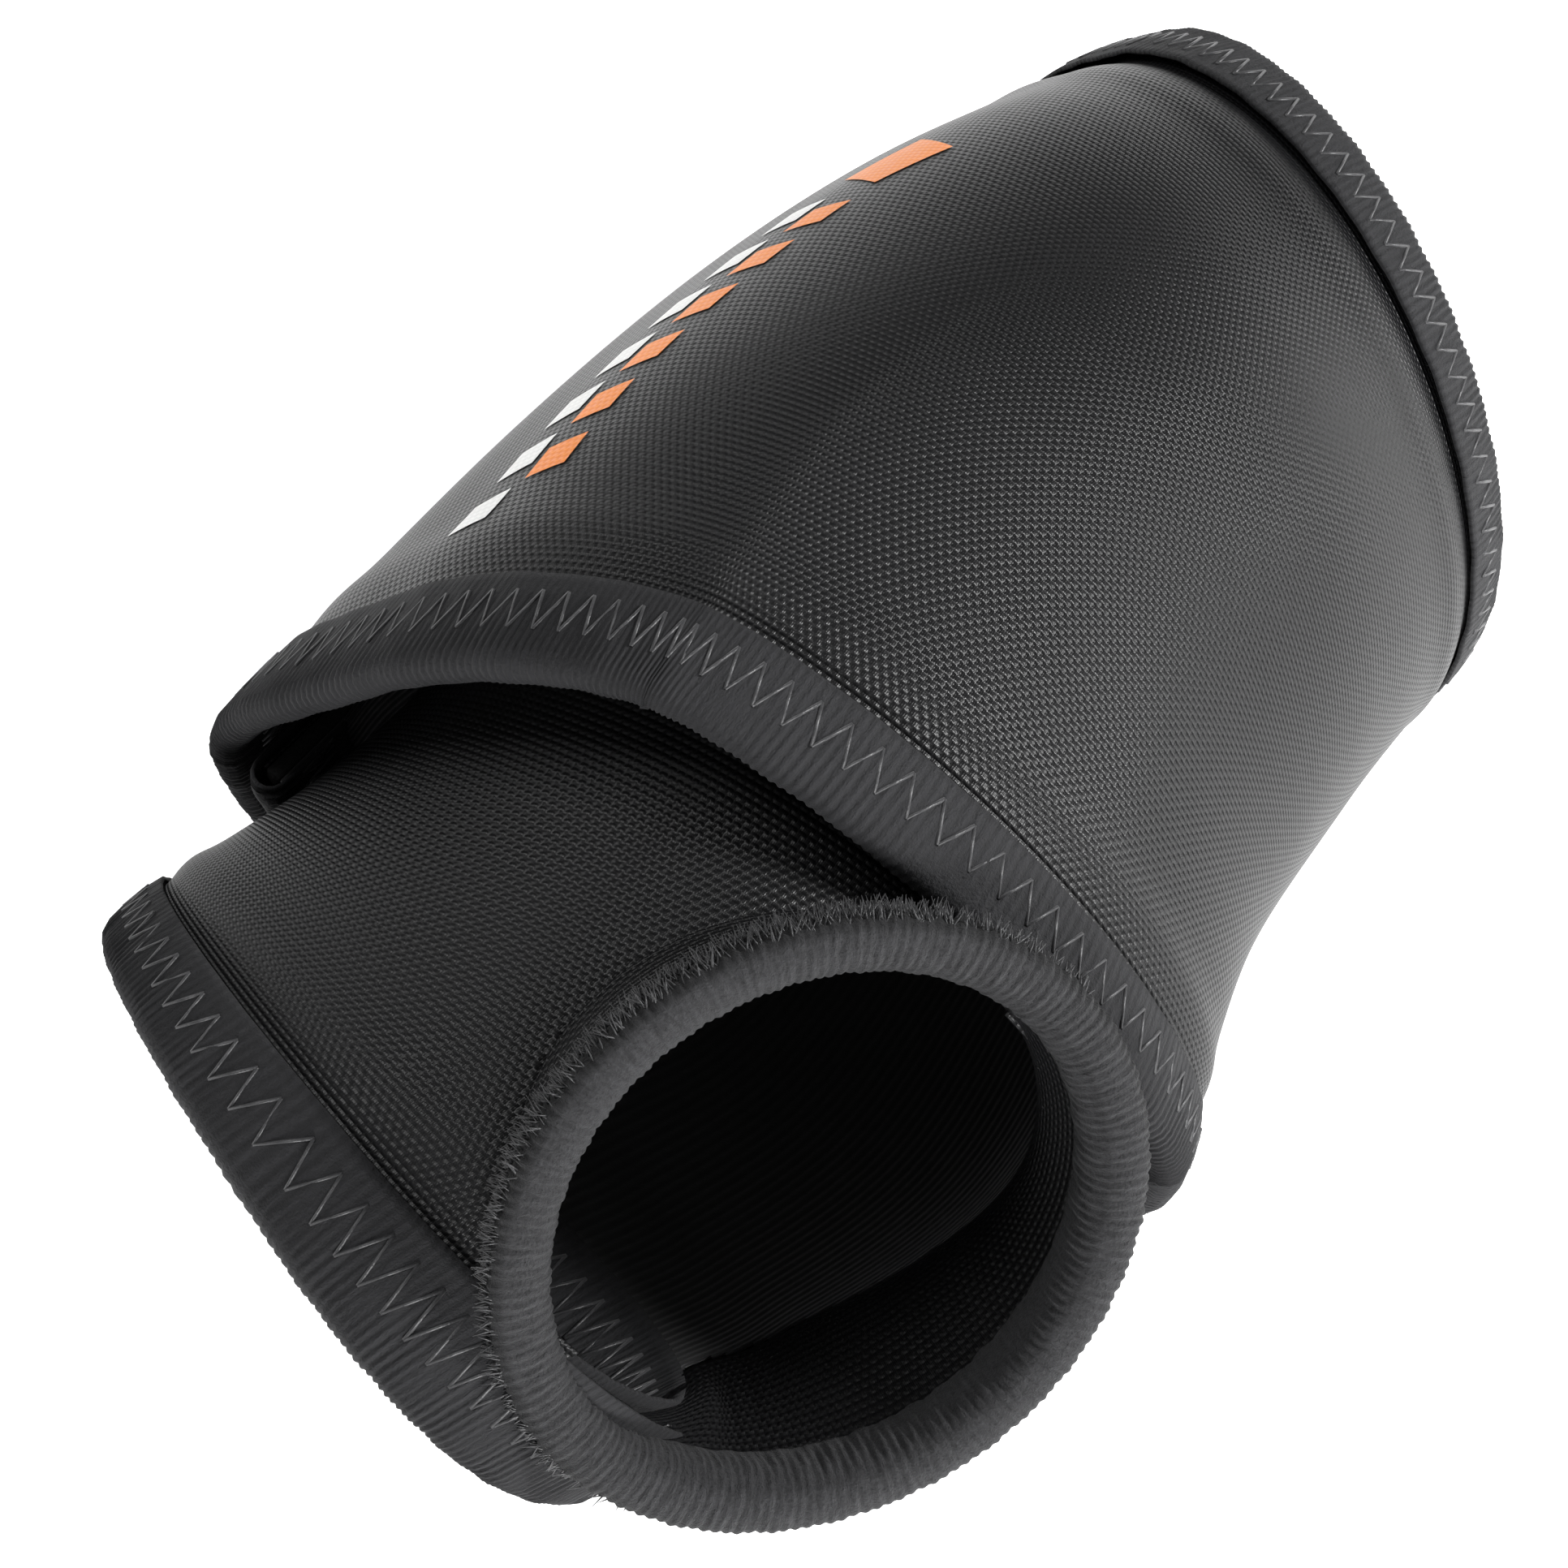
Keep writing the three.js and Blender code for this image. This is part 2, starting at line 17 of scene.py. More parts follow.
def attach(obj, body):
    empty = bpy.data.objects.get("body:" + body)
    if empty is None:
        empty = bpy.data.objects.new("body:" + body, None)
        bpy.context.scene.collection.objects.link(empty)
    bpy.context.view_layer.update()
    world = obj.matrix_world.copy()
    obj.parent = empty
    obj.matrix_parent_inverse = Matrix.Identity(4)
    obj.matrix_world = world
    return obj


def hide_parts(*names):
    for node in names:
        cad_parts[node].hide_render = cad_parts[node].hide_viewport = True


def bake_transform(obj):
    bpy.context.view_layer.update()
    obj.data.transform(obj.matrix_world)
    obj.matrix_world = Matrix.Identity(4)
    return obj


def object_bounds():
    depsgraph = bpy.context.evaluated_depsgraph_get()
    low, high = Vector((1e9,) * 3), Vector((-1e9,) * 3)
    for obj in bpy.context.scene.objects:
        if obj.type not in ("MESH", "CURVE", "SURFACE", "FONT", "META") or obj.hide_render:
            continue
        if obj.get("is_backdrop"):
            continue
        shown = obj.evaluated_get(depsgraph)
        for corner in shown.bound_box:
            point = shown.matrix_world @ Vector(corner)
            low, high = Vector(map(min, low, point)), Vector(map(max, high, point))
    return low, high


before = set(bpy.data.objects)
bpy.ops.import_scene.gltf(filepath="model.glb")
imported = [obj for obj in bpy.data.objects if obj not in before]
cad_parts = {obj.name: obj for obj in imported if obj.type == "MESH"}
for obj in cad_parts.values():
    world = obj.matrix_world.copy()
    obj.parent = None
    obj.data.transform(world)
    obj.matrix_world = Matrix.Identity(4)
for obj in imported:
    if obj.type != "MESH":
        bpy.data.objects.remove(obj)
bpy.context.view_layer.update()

# ---- driving dimensions, in millimetres ---------------------------------------------------------

DESIGN_ORIGIN = np.array([-16.32, 6.23, 59.05])  # the design frame's origin in the row frame
FLOOR = -58.0  # the underside is pressed flat at this height
FLOOR_ROUNDING = 4.0

CLOTH = 0.4
FOAM = 2.0
GAP = 0.25
LAMINATE = 2 * CLOTH + FOAM + 2 * GAP
TAPE = 0.7
TAPE_WIDTH = 9.5
PATCH = 0.6

OVERLAP_LIFT = 4.8
OVERLAP_RECESS = 2.0
HINGE_ANGLE = 175
LIFT_ARC = 35
RECESS_ARC = 80
FLAP_ARC = 54
FLAP_TIP_WIDTH = 0.62
HINGE_SLIT = 0.5

# Cross-sections from the forearm end to the elbow end: centre, half width, heights above and below,
# turn about Z, tip along the arm above and below, crest shift, exponents and front-half growth.
FIELDS = "x y z half top bottom yaw lean lean_low skew round round_low taper".split()
WRAP = np.array([
    [103, 1, -14, 48, 47, 47, -18, 0, 0, 0, 2, 2, 0],
    [61, 3, -10, 52, 58, 50, -6, 4, 0, 0, 2, 2, 0],
    [18, 1.5, -8, 56, 60, 52, 9, 6, 0, 0.08, 1.8, 2, 0],
    [-23, -7, -5, 63, 52, 55, 17, 6, -4, 0.1, 1.5, 1.9, 0],
])
SLEEVE = np.array([
    [97, -1.5, -14, 38.5, 37, 37, -18, 0, 0, 0, 2, 2, 0],
    [60, 0.5, -10, 42, 47, 41, -6, 2, 0, 0, 2, 2, 0],
    [18, -0.5, -9, 46, 46, 42, 8, 0, 0, 0.05, 1.9, 2, 0],
    [-28, -5, -8, 51, 36, 38, 8, -10, -10, 0, 1.9, 2, 0.2],
    [-72, 4.5, -11, 46, 22, 17, -9, -26, -26, 0, 2.4, 2.4, 0.3],
])
SLEEVE_TAPE_ROWS = (0.045, 0.94)  # where the edge tapes end, as shares of the sleeve's length
WRAP_TAPE_ROWS = (0.075, 0.925)
FLAP_TIP_ROW = 0.84

WINDOW_CENTRE = np.array([-44.3, -47.8, 15.2])
WINDOW_AXIS = (-0.34, -0.59, 0.73)
WINDOW_OUTER = 32.8
WINDOW_INNER = 26.6
WINDOW_STRETCH = 1.18
WINDOW_TURN = 22
LIP_CREST = (WINDOW_OUTER + WINDOW_INNER) / 2

RIB_PITCH = 1.1  # cross ribs of the edge tapes
STITCH_PITCH = 3.6  # one zig and one zag
THREAD_RADIUS = 0.23
WRAP_FLAT = (345, 126)  # about the wrap's girth and width, for the print's place on the knit


# ---- the curved sheets --------------------------------------------------------------------------

def smooth(x):
    x = np.clip(x, 0, 1)
    return x * x * (3 - 2 * x)


def bump(x):
    return np.exp(-x * x)


def section_at(sections, t):
    """The cross-section at t, by a Catmull-Rom blend of the rows."""
    spans = len(sections) - 1
    place = np.asarray(t, float) * spans
    i = np.clip(np.floor(place).astype(int), 0, spans - 1)
    f = (place - i)[..., None]
    before = 2 * sections[0] - sections[1]
    after = 2 * sections[-1] - sections[-2]
    rows = np.vstack([before, sections, after])
    p0, p1, p2, p3 = (rows[i + k] for k in range(4))
    square = 2 * p0 - 5 * p1 + 4 * p2 - p3
    cube = 3 * p1 - p0 - 3 * p2 + p3
    return 0.5 * (2 * p1 + (p2 - p0) * f + square * f**2 + cube * f**3)


def tube_point(sections, degrees, t):
    """Points of a tube: 0 degrees faces -Y, 90 up, 180 back and 270 down."""
    degrees, t = np.broadcast_arrays(np.asarray(degrees, float), np.asarray(t, float))
    s = dict(zip(FIELDS, np.moveaxis(section_at(sections, t), -1, 0)))
    c, q = np.cos(np.radians(degrees)), np.sin(np.radians(degrees))
    upper = q > 0
    power = 2 / np.where(upper, s["round"], s["round_low"])
    across = np.sign(c) * np.abs(c) ** power
    height = np.where(upper, s["top"], s["bottom"]) * np.sign(q) * np.abs(q) ** power
    height = height * (1 + s["taper"] * across)
    width = s["half"] * (across - s["skew"] * np.maximum(q, 0) ** 2)
    yaw = np.radians(s["yaw"])
    lean = np.radians(np.where(upper, s["lean"], s["lean_low"]))
    x = s["x"] + np.sin(yaw) * width + np.cos(yaw) * np.sin(lean) * height
    y = s["y"] - np.cos(yaw) * width + np.sin(yaw) * np.sin(lean) * height
    z = s["z"] + np.cos(lean) * height
    above = z - FLOOR
    near = np.clip(1 - np.abs(above) / FLOOR_ROUNDING, 0, 1)
    z = FLOOR + np.maximum(above, 0) + near**2 * FLOOR_ROUNDING / 4
    return np.stack([x, y, z], -1)


def normals_of(sheet, u, v, step=0.002):
    along_u = sheet(u + step, v) - sheet(u - step, v)
    along_v = sheet(u, v + step) - sheet(u, v - step)
    normal = np.cross(along_u, along_v)
    return normal / np.linalg.norm(normal, axis=-1, keepdims=True)


def sleeve_sheet(u, v):
    return tube_point(SLEEVE, 360 * u, v)


def wrap_base(u, v):
    return tube_point(WRAP, HINGE_ANGLE + 360 * u, v)


def wrap_sheet(u, v):
    """The wrap starts slightly sunk under the flap, and rises at its end over its own start."""
    turned = 360 * np.asarray(u, float)
    recess = OVERLAP_RECESS * (1 - smooth(turned / RECESS_ARC))
    lift = OVERLAP_LIFT * smooth((turned - 360 + LIFT_ARC) / LIFT_ARC)
    shift = np.asarray(lift - recess)[..., None]
    return wrap_base(u, v) + normals_of(wrap_base, u, v) * shift


def flap_sheet(u, v):
    narrowing = (1 - FLAP_TIP_WIDTH) * smooth((u - 0.35) / 0.65)
    place = 0.5 + (v - 0.5) * (1 - narrowing)
    return wrap_sheet((360 + HINGE_SLIT + FLAP_ARC * u) / 360, place)


def pinch(distance, depth=0.5, crown=0.45):
    """Cloth drawn down at a sewn edge and standing up beside it. distance is in millimetres."""
    held = np.where(distance < 0, 1, bump(distance / 2.2))
    return crown * bump((distance - 6.5) / 3.5) - depth * held


def sleeve_relief(u, v):
    low, high = SLEEVE_TAPE_ROWS
    edges = pinch((v - low) * 170) + pinch((high - v) * 170)
    waves = 0.30 * np.sin(2 * np.pi * (3 * u + 1.3 * v)) * np.sin(5.1 * v + 1)
    slack = 0.22 * np.sin(2 * np.pi * (5 * u - 2.2 * v) + 0.7)
    return edges + waves + slack * smooth((v - 0.5) / 0.2)


def wrap_relief(u, v):
    low, high = WRAP_TAPE_ROWS
    edges = pinch((v - low) * 126) + pinch((high - v) * 126)
    waves = 0.35 * np.sin(2 * np.pi * (2 * u + 0.8 * v) + 0.4) * np.sin(4.2 * v + 0.5)
    slack = 0.20 * np.sin(2 * np.pi * (4 * u - 1.7 * v) + 2)
    return edges + waves + slack


def flap_relief(u, v):
    low, high = WRAP_TAPE_ROWS
    sides = pinch((v - low) * 110) + pinch((high - v) * 110)
    return sides + pinch((FLAP_TIP_ROW - u) * 50) + 0.3 * np.sin(3 * v + 2 * u)


class Laminate:
    """Cloth, foam and lining that follow one sheet, with the relief that the sewing gives it."""

    def __init__(self, sheet, relief):
        self.sheet, self.relief = sheet, relief

    def at(self, u, v, offset=0.0):
        u, v = np.broadcast_arrays(np.asarray(u, float), np.asarray(v, float))
        inside = np.clip(u, 0, 1), np.clip(v, 0, 1)
        out = np.asarray(offset + self.relief(*inside))[..., None]
        return self.sheet(u, v) + normals_of(self.sheet, u, v) * out


sleeve = Laminate(sleeve_sheet, sleeve_relief)
wrap = Laminate(wrap_sheet, wrap_relief)
flap = Laminate(flap_sheet, flap_relief)


# ---- meshes -------------------------------------------------------------------------------------

def to_row(points):
    return (np.asarray(points) + DESIGN_ORIGIN) / 1000


def cloth_mesh(place, columns, rows, closed=False):
    """A grid bent to place(u, v). Its UV map is in millimetres of cloth, for the knit and the ribs.
    Returns the bmesh and the cloth's width and length in millimetres."""
    bm = bmesh.new()
    uv = bm.loops.layers.uv.new("cloth")
    bmesh.ops.create_grid(bm, x_segments=columns, y_segments=rows, size=0.5)
    flat = np.array([v.co[:2] for v in bm.verts]) + 0.5
    points = place(flat[:, 0], flat[:, 1])
    ticks = np.linspace(0, 1, 121)
    middle = place(ticks, np.full_like(ticks, 0.5))
    width = np.linalg.norm(np.diff(middle, axis=0), axis=1).sum()
    side = np.mean([
        np.linalg.norm(np.diff(place(np.full_like(ticks, u), ticks), axis=0), axis=1).sum()
        for u in (0.1, 0.35, 0.6, 0.85)
    ])
    for vert, (u, v) in zip(bm.verts, flat):
        for loop in vert.link_loops:
            loop[uv].uv = (u * width, v * side)
    for vert, point in zip(bm.verts, to_row(points)):
        vert.co = point
    if closed:
        bmesh.ops.remove_doubles(bm, verts=bm.verts, dist=1e-6)
    return bm, (width, side)


def finish_piece(name, bm, material, body="sleeve", replaces=(), slot=None, thickness=0.0):
    """Makes the object, with its thickness below its outer face, and puts it on its body."""
    mesh = bpy.data.meshes.new(name)
    bm.normal_update()
    bm.to_mesh(mesh)
    bm.free()
    mesh.polygons.foreach_set("use_smooth", [True] * len(mesh.polygons))
    piece = bpy.data.objects.new(name, mesh)
    bpy.context.scene.collection.objects.link(piece)
    mesh.materials.append(material)
    if thickness:
        wall = piece.modifiers.new("thickness", "SOLIDIFY")
        wall.thickness = thickness / 1000
        wall.offset = -1
    if body:
        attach(piece, body)
    if replaces:
        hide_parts(*replaces)
    return piece


def tube_cone(bm, start, end, radius, tip=None, sides=6):
    """A short round thread or fibre between two points in metres."""
    start, end = Vector(start), Vector(end)
    span = end - start
    turn = span.to_track_quat("Z", "Y").to_matrix().to_4x4()
    place = Matrix.Translation((start + end) / 2) @ turn
    bmesh.ops.create_cone(
        bm, cap_ends=True, segments=sides, radius1=radius,
        radius2=radius if tip is None else tip, depth=span.length, matrix=place,
    )


# ---- materials ----------------------------------------------------------------------------------

def linear(code):
    """An sRGB hex colour as linear RGBA."""
    parts = [int(code[i:i + 2], 16) / 255 for i in (1, 3, 5)]
    return [c / 12.92 if c <= 0.04045 else ((c + 0.055) / 1.055) ** 2.4 for c in parts] + [1]


def add(tree, kind, inputs=None, **settings):
    """Adds a node, with its settings, and fills its sockets with values or links."""
    node = tree.nodes.new("ShaderNode" + kind)
    for name, value in settings.items():
        setattr(node, name, value)
    for key, value in (inputs or {}).items():
        if isinstance(value, bpy.types.NodeSocket):
            tree.links.new(value, node.inputs[key])
        else:
            node.inputs[key].default_value = value
    return node


def new_material(name, **shader):
    """A material with one Principled shader, and its constants set on the shader's own sockets."""
    material = bpy.data.materials.new(name)
    material.use_nodes = True
    tree = material.node_tree
    tree.nodes.clear()
    skin = add(tree, "BsdfPrincipled", {key.replace("_", " "): v for key, v in shader.items()})
    add(tree, "OutputMaterial", {"Surface": skin.outputs["BSDF"]})
    return material, tree, skin


def cell_pattern(tree, place, width, height):
    """Height of a knit of staggered cells, width by height in the units of place: 0 at the
    bottom of a cell's edge and 1 on its crown."""
    scaled = add(tree, "Mapping", {"Vector": place, "Scale": (1 / width, 1 / height, 1)})
    parts = add(tree, "SeparateXYZ", {0: scaled.outputs[0]})
    row = add(tree, "Math", {0: parts.outputs["Y"]}, operation="FLOOR")
    odd = add(tree, "Math", {0: row.outputs[0], 1: 2.0}, operation="FLOORED_MODULO")
    shift = add(tree, "Math", {0: odd.outputs[0], 1: 0.5, 2: parts.outputs["X"]},
                operation="MULTIPLY_ADD")
    joined = add(tree, "CombineXYZ", {"X": shift.outputs[0], "Y": parts.outputs["Y"]})
    cells = add(tree, "TexVoronoi", {"Vector": joined.outputs[0], "Scale": 1.0,
                                     "Randomness": 0.0}, voronoi_dimensions="2D")
    crown = add(tree, "MapRange", {"Value": cells.outputs["Distance"], "From Min": 0.12,
                                   "From Max": 0.62, "To Min": 1.0, "To Max": 0.0},
                interpolation_type="SMOOTHSTEP")
    return crown.outputs["Result"]


def rib_pattern(tree, place, pitch, axis):
    """Height of ribs that repeat every pitch along one axis of place."""
    parts = add(tree, "SeparateXYZ", {0: place})
    turns = add(tree, "Math", {0: parts.outputs[axis], 1: 2 * math.pi / pitch},
                operation="MULTIPLY")
    wave = add(tree, "Math", {0: turns.outputs[0]}, operation="SINE")
    return add(tree, "MapRange", {"Value": wave.outputs[0], "From Min": -1.0}).outputs["Result"]


def noise(tree, place, scale, detail=3.0, roughness=0.6):
    return add(tree, "TexNoise", {"Vector": place, "Scale": scale, "Detail": detail,
                                  "Roughness": roughness}).outputs["Fac"]


def blended(tree, factor, low, high):
    """A colour between two hex colours."""
    mix = add(tree, "Mix", data_type="RGBA")
    colours = [s for s in mix.inputs if s.type == "RGBA"]
    tree.links.new(factor, mix.inputs[0])
    colours[0].default_value, colours[1].default_value = linear(low), linear(high)
    return next(s for s in mix.outputs if s.type == "RGBA")


def bumped(tree, height, distance, strength=1.0, under=None):
    """A bump of so many millimetres, on top of another one."""
    inputs = {"Height": height, "Distance": distance / 1000, "Strength": strength}
    if under is not None:
        inputs["Normal"] = under
    return add(tree, "Bump", inputs).outputs["Normal"]


def cloth_place(tree):
    return add(tree, "UVMap", uv_map="cloth").outputs["UV"]


def metre_place(tree):
    return add(tree, "TexCoord").outputs["Object"]


def times(tree, a, b):
    return add(tree, "Math", {0: a, 1: b}, operation="MULTIPLY").outputs[0]


def plus(tree, a, factor, b):
    return add(tree, "Math", {0: a, 1: factor, 2: b}, operation="MULTIPLY_ADD").outputs[0]


def knit_nylon_face():
    """Circular-knit nylon bonded to neoprene: filament yarn, so a broad satin gloss on the crowns
    of cells about 1 mm wide, with dark joints between them."""
    material, tree, skin = new_material(
        "knit_nylon_face", Specular_IOR_Level=0.25)
    place = cloth_place(tree)
    cells = cell_pattern(tree, place, 1.15, 0.8)
    yarn = rib_pattern(tree, place, 0.23, "X")
    drift = noise(tree, place, 0.045)
    shade = plus(tree, cells, 0.75, times(tree, drift, 0.3))
    tree.links.new(blended(tree, shade, "#040405", "#151516"), skin.inputs["Base Color"])
    rough = plus(tree, cells, -0.08, plus(tree, drift, 0.10, 0.38))
    tree.links.new(rough, skin.inputs["Roughness"])
    fine = bumped(tree, yarn, 0.03, 0.5)
    wave = bumped(tree, drift, 0.5, 0.35, fine)
    tree.links.new(bumped(tree, cells, 0.16, 0.9, wave), skin.inputs["Normal"])
    return material


def ribbed_jersey_lining():
    """Brushed polyester jersey inside the sleeve: dull, with soft wales 1.4 mm apart."""
    material, tree, skin = new_material("ribbed_jersey_lining", Roughness=0.85, Sheen_Weight=0.2)
    place = cloth_place(tree)
    wales = rib_pattern(tree, place, 1.4, "X")
    nap = noise(tree, place, 2.2)
    shade = plus(tree, wales, 0.6, times(tree, nap, 0.4))
    tree.links.new(blended(tree, shade, "#0a0a0b", "#1d1d1e"), skin.inputs["Base Color"])
    fuzz = bumped(tree, nap, 0.12, 0.6)
    tree.links.new(bumped(tree, wales, 0.22, 0.8, fuzz), skin.inputs["Normal"])
    return material


def closed_cell_neoprene():
    """Closed-cell neoprene foam: matt black rubber with fine cut pores."""
    material, tree, skin = new_material("closed_cell_neoprene", Roughness=0.92)
    place = metre_place(tree)
    pores = add(tree, "TexVoronoi", {"Vector": place, "Scale": 1600.0}).outputs["Distance"]
    tree.links.new(blended(tree, pores, "#080808", "#1b1b1b"), skin.inputs["Base Color"])
    tree.links.new(bumped(tree, pores, 0.2, 0.7), skin.inputs["Normal"])
    return material


def elastic_binding_tape():
    """Folded elastic edge tape: dull textured yarn, slubbed across the tape, with a painted
    highlight that lightens the crests of its ribs."""
    material, tree, skin = new_material(
        "elastic_binding_tape", Specular_IOR_Level=0.2, Sheen_Weight=0.03, Sheen_Roughness=0.5)
    place = cloth_place(tree)
    ribs = rib_pattern(tree, place, 1.1, "X")
    stretched = add(tree, "Mapping", {"Vector": place, "Scale": (1.6, 0.45, 1)}).outputs[0]
    slub = noise(tree, stretched, 1.5, 4.0, 0.7)
    weft = noise(tree, place, 3.2, 2.0)
    # painted highlight: the crests of the ribs are made lighter; the slubs are the yarn's own tone
    shade = plus(tree, ribs, 0.25, times(tree, slub, 0.9))
    tree.links.new(blended(tree, shade, "#09090a", "#28282a"), skin.inputs["Base Color"])
    tree.links.new(plus(tree, slub, 0.25, 0.6), skin.inputs["Roughness"])
    yarn = bumped(tree, weft, 0.16, 0.8)
    rough = bumped(tree, slub, 0.35, 0.9, yarn)
    tree.links.new(bumped(tree, ribs, 0.12, 0.7, rough), skin.inputs["Normal"])
    return material


def napped_elastic_tape():
    """The collar's edge tape, stretched over a tight curve: its loops open into a rough nap of
    radial ridges, darker between them, and painted shade makes its outer leg nearly black."""
    material, tree, skin = new_material(
        "napped_elastic_tape", Specular_IOR_Level=0.2, Sheen_Weight=0.05, Sheen_Roughness=0.5)
    place = cloth_place(tree)
    ridges = add(tree, "Mapping", {"Vector": place, "Scale": (1.3, 0.28, 1)}).outputs[0]
    loops = noise(tree, ridges, 1.1, 5.0, 0.75)
    curls = noise(tree, place, 1.9, 3.0, 0.7)
    shade = plus(tree, loops, 0.75, times(tree, curls, 0.45))
    strong = add(tree, "MapRange", {"Value": shade, "From Min": 0.35, "From Max": 0.85})
    across = add(tree, "SeparateXYZ", {0: place}).outputs["Y"]
    # painted shade: the outer leg, up to 7 mm across the tape, is darkened to 0.15 of its colour
    # and comes up to full by 10.5 mm
    outer_leg_painted_shade = add(tree, "MapRange", {"Value": across, "From Min": 7.0, "From Max": 10.5,
                                     "To Min": 0.15})
    nap_with_painted_shade = times(tree, strong.outputs[0], outer_leg_painted_shade.outputs[0])
    tree.links.new(blended(tree, nap_with_painted_shade, "#070708", "#3d3d3f"), skin.inputs["Base Color"])
    tree.links.new(plus(tree, curls, 0.3, 0.6), skin.inputs["Roughness"])
    fine = bumped(tree, curls, 0.5, 0.9)
    tree.links.new(bumped(tree, loops, 0.7, 0.9, fine), skin.inputs["Normal"])
    return material


def polyester_thread():
    """Bonded polyester sewing thread: two plies, slightly glossier than the tape it holds."""
    material, tree, skin = new_material("polyester_thread", Roughness=0.45, Sheen_Weight=0.1)
    ply = noise(tree, metre_place(tree), 2500.0, 2.0)
    tree.links.new(blended(tree, ply, "#141415", "#3a3a3c"), skin.inputs["Base Color"])
    tree.links.new(bumped(tree, ply, 0.1, 0.8), skin.inputs["Normal"])
    return material


def woven_seam_tape():
    """Flat woven nylon tape over the inside seams: fine ribs across its width."""
    material, tree, skin = new_material("woven_seam_tape", Roughness=0.75)
    place = cloth_place(tree)
    ribs = rib_pattern(tree, place, 0.8, "Y")
    warp = rib_pattern(tree, place, 0.5, "X")
    shade = plus(tree, ribs, 0.6, times(tree, warp, 0.4))
    tree.links.new(blended(tree, shade, "#0c0c0c", "#242425"), skin.inputs["Base Color"])
    fine = bumped(tree, warp, 0.06, 0.6)
    tree.links.new(bumped(tree, ribs, 0.15, 0.8, fine), skin.inputs["Normal"])
    return material


def loop_pile():
    """Unnapped loop tape: a mat of nylon loops, soft and matt."""
    material, tree, skin = new_material("loop_pile", Roughness=0.9, Sheen_Weight=0.5)
    place = cloth_place(tree)
    loops = noise(tree, place, 1.6, 5.0, 0.8)
    tree.links.new(blended(tree, loops, "#050505", "#2b2b2b"), skin.inputs["Base Color"])
    tree.links.new(bumped(tree, loops, 0.7, 1.0), skin.inputs["Normal"])
    return material


def hook_tape():
    """Moulded hook tape: rows of stiff shiny hooks 1.3 mm apart on a plain backing."""
    material, tree, skin = new_material("hook_tape", Roughness=0.4)
    place = cloth_place(tree)
    hooks = cell_pattern(tree, place, 1.3, 1.3)
    tree.links.new(blended(tree, hooks, "#070707", "#2a2a2a"), skin.inputs["Base Color"])
    tree.links.new(bumped(tree, hooks, 0.6, 1.0), skin.inputs["Normal"])
    return material


def screen_ink(name, low, high):
    """Plastisol screen print: smooth and slightly glossy, with the knit showing through it and
    pinholes where the ink missed the bottom of a cell."""
    material, tree, skin = new_material(name, IOR=1.45)
    place = cloth_place(tree)
    cells = cell_pattern(tree, place, 1.15, 0.8)
    wear = noise(tree, place, 0.6)
    shade = plus(tree, cells, 0.5, times(tree, wear, 0.6))
    tree.links.new(blended(tree, shade, low, high), skin.inputs["Base Color"])
    tree.links.new(plus(tree, wear, 0.2, 0.35), skin.inputs["Roughness"])
    tree.links.new(bumped(tree, cells, 0.08, 0.7), skin.inputs["Normal"])
    return material


def matt_paper():
    """Translucent white paper over a light table: almost flat, with the faintest tooth, and lit
    from below so that it stays white."""
    material, tree, skin = new_material(
        "matt_paper", Roughness=0.95, Emission_Color=(1, 1, 1, 1), Emission_Strength=0.62)
    tooth = noise(tree, metre_place(tree), 400.0)
    tree.links.new(blended(tree, tooth, "#f2f2f2", "#f8f8f8"), skin.inputs["Base Color"])
    return material


FACE = knit_nylon_face()
LINING = ribbed_jersey_lining()
NEOPRENE = closed_cell_neoprene()
BINDING = elastic_binding_tape()
NAP = napped_elastic_tape()
THREAD = polyester_thread()
SEAM = woven_seam_tape()
LOOPS = loop_pile()
HOOKS = hook_tape()
ORANGE = screen_ink("orange_screen_ink", "#ee7a1e", "#ff9a3c")
WHITE = screen_ink("white_screen_ink", "#dcdcda", "#fafaf8")


# ---- camera, lights and floor -------------------------------------------------------------------

VIEW_AZIMUTH, VIEW_ELEVATION = math.radians(-47), math.radians(60)
VIEW_DISTANCE = 0.3757
towards_camera = Vector((
    math.sin(VIEW_AZIMUTH) * math.cos(VIEW_ELEVATION),
    -math.cos(VIEW_AZIMUTH) * math.cos(VIEW_ELEVATION),
    math.sin(VIEW_ELEVATION),
))
aim = Vector(to_row((0, 0, 0)))
camera = bpy.data.objects.new("camera", bpy.data.cameras.new("camera"))
bpy.context.scene.collection.objects.link(camera)
camera.data.lens = 70
camera.location = aim + towards_camera * VIEW_DISTANCE
camera.rotation_mode = "QUATERNION"
camera.rotation_quaternion = (-towards_camera).to_track_quat("-Z", "Y")
bpy.context.scene.camera = camera


def softbox(name, place, size, power):
    """A square studio light at a point in metres, aimed at the object."""
    light = bpy.data.lights.new(name, "AREA")
    light.shape, light.size, light.energy = "SQUARE", size, power
    lamp = bpy.data.objects.new(name, light)
    bpy.context.scene.collection.objects.link(lamp)
    lamp.location = place
    lamp.rotation_mode = "QUATERNION"
    lamp.rotation_quaternion = (aim - Vector(place)).to_track_quat("-Z", "Y")


softbox("key_softbox", (0.50, -0.62, 0.56), 0.20, 16)
softbox("side_softbox", (-0.70, -0.66, 0.22), 0.25, 12)
softbox("top_softbox", (-0.15, 0.55, 0.80), 0.5, 5)

world = bpy.data.worlds.new("studio")
bpy.context.scene.world = world
world.use_nodes = True
world.node_tree.nodes["Background"].inputs["Color"].default_value = (1, 1, 1, 1)
world.node_tree.nodes["Background"].inputs["Strength"].default_value = 0.14
bpy.context.scene.view_settings.view_transform = "Standard"

floor_bm = bmesh.new()
bmesh.ops.create_circle(floor_bm, cap_ends=True, segments=64, radius=4.0)
floor = finish_piece("paper_floor", floor_bm, matt_paper(), body=None)
floor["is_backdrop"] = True


# ---- the elbow window ---------------------------------------------------------------------------

